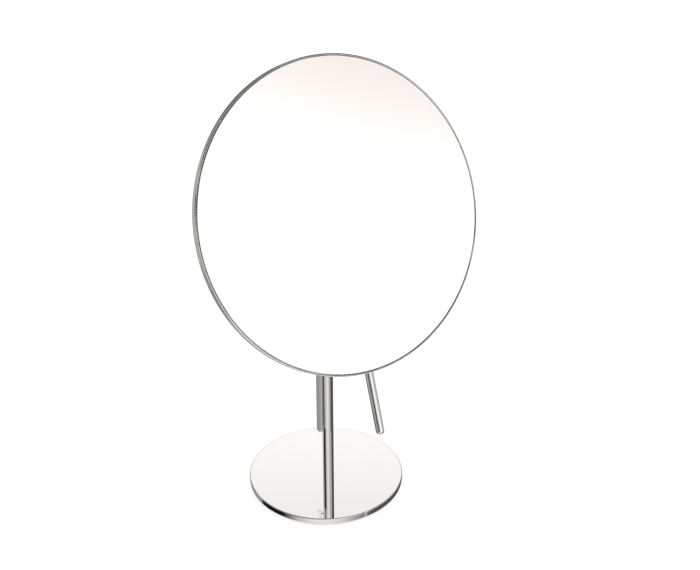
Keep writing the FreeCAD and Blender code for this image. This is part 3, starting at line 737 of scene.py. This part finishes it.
def make_hinge_nut():
    low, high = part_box("hinge_nut")
    across = high.z - low.z
    nut = prism("nut", hexagon(across), low.x, high.x, along="X")
    turn = across / math.sqrt(3)
    tip, belly, slope = NUT_CROWN
    crown = lathe("crown", [
        (0, low.x - PAST), (turn * tip, low.x), (turn * belly, low.x + slope),
        (turn * belly, high.x - slope), (turn * tip, high.x), (0, high.x + PAST),
    ], 96, "X")
    combine(nut, [crown], "INTERSECT")
    combine(nut, [plug("bore", HINGE_BORE, low.x - PAST, high.x + PAST, 64, "X")])
    soften(nut, 0.1 * MM, 2, 40)
    return finish_piece(on_hinge(nut), "lift", ["hinge_nut"], SCREW)


# Mirror head

def make_hub():
    """Turned hub with a boss, and the hinge lug that stands on it."""
    low, high = head_box("mirror_hub")
    plate_back = head_box("back_plate")[1].y
    radius = high.z
    boss, boss_height = HUB_BOSS
    back = plate_back + HUB_DEPTH
    boss_back = back + boss_height
    hub = lathe("hub", rounded([
        (0, plate_back, 0), (radius, plate_back - 0.1 * MM, 0.3 * MM), (radius, back, 1.4 * MM),
        (boss, back, 1.1 * MM), (boss, boss_back, 0.5 * MM), (0, boss_back, 0),
    ], 6), 160, "Y")
    root = back + LUG_ROOT
    eye = high.y
    web = prism("web", arc(0, 0, eye, -90, 90, 32) + [(root, eye), (root, -eye)],
                -LUG_HALF_WIDTH, LUG_HALF_WIDTH, along="X")
    combine(hub, [bevelled(web, 0.35 * MM, 3, 40)], "UNION")
    axle = plug("axle", HINGE_BORE, -AXLE_REACH, AXLE_REACH, 64, "X")
    grub_low, grub_high = head_box("handle_grub_screw")
    grub_hole = plug("grub_hole", (grub_high.x - grub_low.x) / 2 + GRUB_GAP, grub_low.y,
                     back + PAST, 48, "Y")
    moved(grub_hole, (0, 0, (grub_low.z + grub_high.z) / 2))
    combine(hub, [axle, grub_hole])
    return finish_piece(on_head(hub), "head", ["mirror_hub"], CHROME, 28)


def make_grub():
    low, high = head_box("handle_grub_screw")
    radius = (high.x - low.x) / 2
    grub = lathe("grub", rounded([
        (0, low.y, 0), (radius, low.y, 0), (radius, high.y, 0.2 * MM), (0, high.y, 0),
    ], 3), 48, "Y")
    width, depth = GRUB_SOCKET
    socket = prism("socket", hexagon(width), -depth, depth)
    socket.data.transform(Matrix.Rotation(math.pi / 2, 4, "X"))
    combine(grub, [moved(socket, (0, high.y, 0))])
    moved(grub, (0, 0, (low.z + high.z) / 2))
    return finish_piece(on_head(grub), "head", ["handle_grub_screw"], SCREW)


def make_handle():
    """Straight rod with a round lower end, and a thinner neck that goes into the hub."""
    low, high = head_box("handle_rod")
    radius = (high.x - low.x) / 2
    shoulder = -head_box("mirror_hub")[1].z
    tip = arc(0, low.z + radius, radius, -90, 0, 20)
    handle = lathe("handle", tip + rounded([
        (radius, shoulder - HANDLE_NECK, 0), (radius, shoulder, 0.2 * MM),
        (HANDLE_NECK, shoulder, 0), (HANDLE_NECK, high.z, 0.3 * MM), (0, high.z, 0),
    ], 3), 96)
    moved(handle, (0, (low.y + high.y) / 2, 0))
    return finish_piece(on_head(handle), "head", ["handle_rod"], CHROME)


# Geometry node trees: the dished discs of the mirror, and screws on a circle

def new_geometry_tree(name, inputs):
    tree = bpy.data.node_groups.new(name, "GeometryNodeTree")
    tree.interface.new_socket("Geometry", in_out="INPUT", socket_type=SHAPE)
    tree.interface.new_socket("Geometry", in_out="OUTPUT", socket_type=SHAPE)
    for label, kind in (*inputs, ("Material", PAINT)):
        tree.interface.new_socket(label, in_out="INPUT", socket_type=kind)
    source = tree.nodes.new("NodeGroupInput").outputs
    sink = tree.nodes.new("NodeGroupOutput").inputs
    return tree, source, sink


def realized(tree, geometry, source, sink):
    """End a tree: make its instances real and paint them."""
    real = add(tree, "GeometryNodeRealizeInstances", {"Geometry": geometry}).outputs[0]
    coated = add(tree, "GeometryNodeSetMaterial", {"Geometry": real,
                                                  "Material": source["Material"]}).outputs[0]
    feed(tree, sink[0], coated)
    return tree


def make_dished_disc_tree():
    """A round sheet on a sphere that is hollow towards -Y. Its front middle is at the origin."""
    tree, source, sink = new_geometry_tree("dished_disc", [
        ("Radius", FLOAT), ("Curve Radius", FLOAT), ("Thickness", FLOAT), ("Rings", WHOLE),
        ("Steps", WHOLE)])
    rings = calc(tree, "ADD", source["Rings"], 1.0)
    steps = calc(tree, "ADD", source["Steps"], 1.0)
    grid = add(tree, "GeometryNodeMeshGrid", {"Size X": 1.0, "Size Y": 1.0, "Vertices X": rings,
                                             "Vertices Y": steps}).outputs["Mesh"]
    spot = add(tree, "GeometryNodeInputPosition").outputs[0]
    parts = add(tree, "ShaderNodeSeparateXYZ", {0: spot}).outputs
    radius = calc(tree, "MULTIPLY", calc(tree, "ADD", parts["X"], 0.5), source["Radius"])
    angle = calc(tree, "MULTIPLY", calc(tree, "ADD", parts["Y"], 0.5), 2 * math.pi)
    squared = calc(tree, "POWER", source["Curve Radius"], 2.0)
    rise = calc(tree, "SQRT", calc(tree, "SUBTRACT", squared, calc(tree, "POWER", radius, 2.0)))
    depth = calc(tree, "SUBTRACT", rise, source["Curve Radius"])
    where = add(tree, "ShaderNodeCombineXYZ", {
        "X": calc(tree, "MULTIPLY", radius, calc(tree, "COSINE", angle)), "Y": depth,
        "Z": calc(tree, "MULTIPLY", radius, calc(tree, "SINE", angle))}).outputs[0]
    placed = add(tree, "GeometryNodeSetPosition", {"Geometry": grid, "Position": where}).outputs[0]
    front = add(tree, "GeometryNodeMergeByDistance", {"Geometry": placed,
                                                     "Distance": MERGE}).outputs[0]
    offset = add(tree, "ShaderNodeCombineXYZ", {"X": 0.0, "Y": source["Thickness"],
                                               "Z": 0.0}).outputs[0]
    wall = add(tree, "GeometryNodeExtrudeMesh", {"Mesh": front, "Offset": offset,
                                                "Offset Scale": 1.0, "Individual": False})
    both = add(tree, "GeometryNodeJoinGeometry")
    feed(tree, both.inputs[0], front)
    feed(tree, both.inputs[0], wall.outputs["Mesh"])
    closed = add(tree, "GeometryNodeMergeByDistance", {"Geometry": both.outputs[0],
                                                      "Distance": MERGE}).outputs[0]
    return realized(tree, closed, source, sink)


def make_screw_circle_tree():
    """Countersunk screws that point along +Y, evenly spaced on a circle, one at the top."""
    tree, source, sink = new_geometry_tree("screw_circle", [
        ("Count", WHOLE), ("Circle Radius", FLOAT), ("Head Radius", FLOAT),
        ("Shank Radius", FLOAT), ("Length", FLOAT)])
    points = add(tree, "GeometryNodeMeshCircle", {"Vertices": source["Count"],
                                                 "Radius": source["Circle Radius"]}).outputs[0]
    upright = (math.pi / 2, -math.pi / 2, 0)
    stood = add(tree, "GeometryNodeTransform", {"Geometry": points,
                                               "Rotation": upright}).outputs[0]
    taper = calc(tree, "SUBTRACT", source["Head Radius"], source["Shank Radius"])
    sides = 32
    cone = add(tree, "GeometryNodeMeshCone", {
        "Vertices": sides, "Radius Top": source["Shank Radius"],
        "Radius Bottom": source["Head Radius"], "Depth": taper}).outputs["Mesh"]
    shank = add(tree, "GeometryNodeMeshCylinder", {
        "Vertices": sides, "Radius": source["Shank Radius"],
        "Depth": source["Length"]}).outputs["Mesh"]
    half = calc(tree, "MULTIPLY", source["Length"], 0.5)
    up = add(tree, "ShaderNodeCombineXYZ", {"X": 0.0, "Y": 0.0, "Z": half}).outputs[0]
    raised = add(tree, "GeometryNodeTransform", {"Geometry": shank, "Translation": up}).outputs[0]
    whole = add(tree, "GeometryNodeMeshBoolean", operation="UNION")
    feed(tree, whole.inputs["Mesh 2"], cone)
    feed(tree, whole.inputs["Mesh 2"], raised)
    laid = add(tree, "GeometryNodeTransform", {"Geometry": whole.outputs[0],
                                              "Rotation": (-math.pi / 2, 0, 0)}).outputs[0]
    many = add(tree, "GeometryNodeInstanceOnPoints", {"Points": stood, "Instance": laid}).outputs[0]
    return realized(tree, many, source, sink)


def grown(name, tree, **values):
    """A plain mesh grown by a geometry node tree from its named inputs."""
    thing = new_object(name, bpy.data.meshes.new(name))
    step = thing.modifiers.new("grow", "NODES")
    step.node_group = tree
    for item in tree.interface.items_tree:
        key = item.name.replace(" ", "_").lower()
        if item.in_out == "INPUT" and key in values:
            step[item.identifier] = values[key]
    baked(thing)
    shape = bmesh.new()
    shape.from_mesh(thing.data)
    thing.data = mesh_from(shape, name)
    return thing


DISHED_DISC = make_dished_disc_tree()
SCREW_CIRCLE = make_screw_circle_tree()


def make_pan():
    """The dished plate with its rim round the glass."""
    low, high = head_box("back_plate")
    outer = high.x
    inner = GLASS_RADIUS + RIM_GAP
    back = CURVE_RADIUS + GLASS_THICKNESS + FILM_THICKNESS + PLATE_THICKNESS
    front = back - PLATE_THICKNESS
    centre = high.y - back
    rings = 20

    def bowl(curve, radius):
        return radius, centre + math.sqrt(curve ** 2 - radius ** 2)

    inside = [bowl(front, inner * step / rings) for step in range(rings + 1)]
    outside = [bowl(back, (outer - PLATE_EDGE) * step / rings) for step in range(rings, -1, -1)]
    root, shoulder = inside[-1][1], outside[0][1]
    lip = rounded([
        (inner, root, 0), (inner, low.y, RIM_ROUNDING[0]), (outer, low.y, RIM_ROUNDING[1]),
        (outer, shoulder, PLATE_EDGE), (outer - 2 * PLATE_EDGE, shoulder, 0),
    ], 8)[1:-1]
    pan = lathe("pan", inside + lip + outside[1:], 256, "Y")
    return finish_piece(on_head(pan), "head", ["back_plate"], PLATE_STEEL, 28)


def make_dished(name, node, thickness, material, edge):
    """A dished disc that fills a head node."""
    low, high = head_box(node)
    disc = grown(name, DISHED_DISC, radius=high.x, curve_radius=CURVE_RADIUS, thickness=thickness,
                 rings=24, steps=256, material=material)
    moved(disc, (0, high.y - thickness, 0))
    if edge:
        bevelled(disc, edge, 1, 40)
    return finish_piece(on_head(disc), "head", [node], material, 25)


def make_hub_screws():
    low, high = head_box("hub_screws")
    screws = grown("hub_fasteners", SCREW_CIRCLE, count=3, circle_radius=HUB_SCREW_CIRCLE,
                   head_radius=HUB_SCREW_HEAD, shank_radius=HUB_SCREW_SHANK,
                   length=high.y - low.y, material=SCREW)
    moved(screws, (0, low.y, 0))
    return finish_piece(on_head(screws), "head", ["hub_screws"], SCREW)


# Studio

SENSOR = 36
LENS = 50.84
VIEWPOINT = Vector((-305.6, -520.6, 450.2)) * MM
VIEW_ANGLES = (32.1, 25.81)  # turned to the right, and down
FLOOR_REACH = 6.0


def make_camera():
    data = bpy.data.cameras.new("camera")
    data.sensor_width = SENSOR
    data.lens = LENS
    camera = new_object("camera", data)
    camera.location = VIEWPOINT
    turn, dip = (math.radians(angle) for angle in VIEW_ANGLES)
    look = Vector((math.sin(turn) * math.cos(dip), math.cos(turn) * math.cos(dip), -math.sin(dip)))
    camera.rotation_euler = look.to_track_quat("-Z", "Y").to_euler()
    bpy.context.scene.camera = camera


# What polished metal sees round the room: brightness at each turn from the front (-Y) towards
# +X, in degrees, below and above eye level and at eye level.
SLANTED_VIEW = [
    (-180, 0.01), (-168, 0.01), (-164, 0.34), (-146, 0.30), (-141, 0.008), (-99, 0.008),
    (-90, 0.13), (-72, 0.53), (-49, 0.79), (-27, 0.80), (-5, 0.62), (10, 0.40),
    (20, 0.28), (28, 0.20), (29, 0.46), (32, 0.46), (33, 0.15), (44, 0.08), (130, 0.075),
    (150, 0.04), (180, 0.01),
]
LEVEL_VIEW = [
    (-180, 0.22), (-170, 0.45), (-105, 0.46), (-85, 0.34), (-70, 0.20), (-52, 0.09),
    (-42, 0.09), (-26, 0.50), (-10, 1.0), (5, 1.05), (26, 0.80), (57, 0.45), (90, 0.40),
    (120, 0.20), (150, 0.05), (165, 0.09), (180, 0.22),
]


def make_world():
    """A white room for the eye. Gloss sees its panels: tall dark ones each side, a broad card."""
    world = bpy.data.worlds.new("studio")
    world.use_nodes = True
    bpy.context.scene.world = world
    tree = world.node_tree
    tree.nodes.clear()
    direction = add(tree, "ShaderNodeTexCoord").outputs["Generated"]
    axes = add(tree, "ShaderNodeSeparateXYZ", {0: direction}).outputs
    height = axes["Z"]
    level = calc(tree, "MULTIPLY_ADD", height, 0.5, 0.5)
    turn = calc(tree, "ARCTAN2", axes["X"], calc(tree, "MULTIPLY", axes["Y"], -1.0))
    turn = calc(tree, "MULTIPLY_ADD", turn, 1 / (2 * math.pi), 0.5)

    def round_room(stops):
        return ramp(tree, turn, [(at / 360 + 0.5, tone) for at, tone in stops], "LINEAR")

    def between(*stops):
        """A mask over elevations in degrees."""
        return ramp(tree, level, [(math.sin(math.radians(at)) / 2 + 0.5, tone)
                                  for at, tone in stops])

    eye_level = between((-30, 0), (-26, 1), (15, 1), (22, 0))
    tone = mix(tree, eye_level, round_room(SLANTED_VIEW), round_room(LEVEL_VIEW))
    front = round_room([(-180, 0), (-125, 0), (-105, 1), (100, 1), (120, 0), (180, 0)])
    shade = mix(tree, front, grey(0.40), grey(0.07))
    tone = mix(tree, between((19, 0), (23, 1), (31, 1), (34, 0)), tone, shade)
    tone = mix(tree, between((-52, 1), (-45, 0)), tone, (0.62, 0.62, 0.61, 1))
    behind = round_room([(-180, 1), (-158, 1), (-155, 0), (148, 0), (153, 1), (180, 1)])
    low = calc(tree, "MULTIPLY", behind, between((-36.5, 1), (-34.5, 0)))
    tone = mix(tree, low, tone, grey(0.28))
    # high up, behind the object and where the bar looks, the room is white
    far_side = round_room([(-180, 0), (-158, 0), (-155, 1), (-145, 1), (-142, 0), (25.5, 0),
                           (27.5, 1), (33.5, 1), (35.5, 0), (134, 0), (140, 1), (161, 1),
                           (167, 0), (180, 0)])
    high = between((29, 0), (32, 1))
    pale = between((34, 1.0), (40, 0.88))
    tone = mix(tree, calc(tree, "MULTIPLY", far_side, high), tone, pale)
    # the mirror looks into a broad white card that greys towards its upper right corner
    card = Vector((0.49, -0.835, 0.25)).normalized()
    near = add(tree, "ShaderNodeVectorMath", {0: direction, 1: card},
               operation="DOT_PRODUCT").outputs["Value"]
    corner = add(tree, "ShaderNodeVectorMath", {0: direction, 1: (0.859, 0.512, 1.0)},
                 operation="DOT_PRODUCT").outputs["Value"]
    card_tone = ramp(tree, corner, [(0.27, 1.14), (0.295, 0.995), (0.318, 0.92)], "LINEAR")
    tone = mix(tree, ramp(tree, near, [(0.987, 0.0), (0.992, 1.0)]), tone, card_tone)
    tone = mix(tree, between((41, 0), (44, 1)), tone, shade)
    paths = add(tree, "ShaderNodeLightPath").outputs
    plain = calc(tree, "MAXIMUM", paths["Is Camera Ray"], paths["Is Diffuse Ray"])
    tone = mix(tree, plain, tone, grey(1.0))
    back = add(tree, "ShaderNodeBackground", {"Color": tone, "Strength": 1.0})
    out = add(tree, "ShaderNodeOutputWorld")
    tree.links.new(back.outputs[0], out.inputs["Surface"])


def make_floor():
    mesh = bpy.data.meshes.new("floor")
    mesh.from_pydata([(x * FLOOR_REACH, y * FLOOR_REACH, 0)
                      for x, y in ((-1, -1), (1, -1), (1, 1), (-1, 1))], [], [(0, 1, 2, 3)])
    floor = new_object("floor", mesh)
    material, tree, shader = new_material("pale_floor")
    shader.inputs["Base Color"].default_value = grey(0.75)
    shader.inputs["Roughness"].default_value = 0.9
    shader.inputs["Specular IOR Level"].default_value = 0
    shader.inputs["Emission Color"].default_value = grey(1)
    shader.inputs["Emission Strength"].default_value = 0.5
    mesh.materials.append(material)
    floor.visible_glossy = False


HIDDEN_FINISHES = {
    "base_screw": (SCREW, "plated_screw"),
    "post_foot": (BRASS, "brass_plug"),
    "post_head": (BRASS, "brass_plug"),
    "swivel_bush": (NYLON, "nylon"),
    "swivel_disc_spring": (SPRING, "spring_steel"),
    "swivel_washer": (SCREW, "plated_screw"),
    "swivel_screw": (SCREW, "plated_screw"),
    "friction_shoe": (NYLON, "nylon"),
    "shoe_disc_springs": (SPRING, "spring_steel"),
    "hinge_disc_spring": (SPRING, "spring_steel"),
}


def paint_hidden_pieces():
    """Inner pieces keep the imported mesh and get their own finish."""
    for name, (material, slot) in HIDDEN_FINISHES.items():
        node = frame["nodes"][name]
        node.data.materials.clear()
        node.data.materials.append(material)


bpy.context.scene.view_settings.view_transform = "Standard"
make_camera()
make_world()
make_floor()

make_foot()
make_sole()
make_ring("post", "post_tube", POST_BORE, CHROME, edge=0.15 * MM)
make_ring("post_washer", "thrust_washer", THRUST_BORE, NYLON)
make_guide_block()
make_block_cap()
make_side_screw()
make_lift_bar()
make_hinge_screw()
make_hinge_washers()
make_hinge_nut()
make_hub()
make_grub()
make_handle()
make_dished("glass", "mirror_glass", GLASS_THICKNESS, GLASS, GLASS_EDGE)
make_dished("film", "adhesive_sheet", FILM_THICKNESS, FILM, 0)
make_pan()
make_hub_screws()
paint_hidden_pieces()
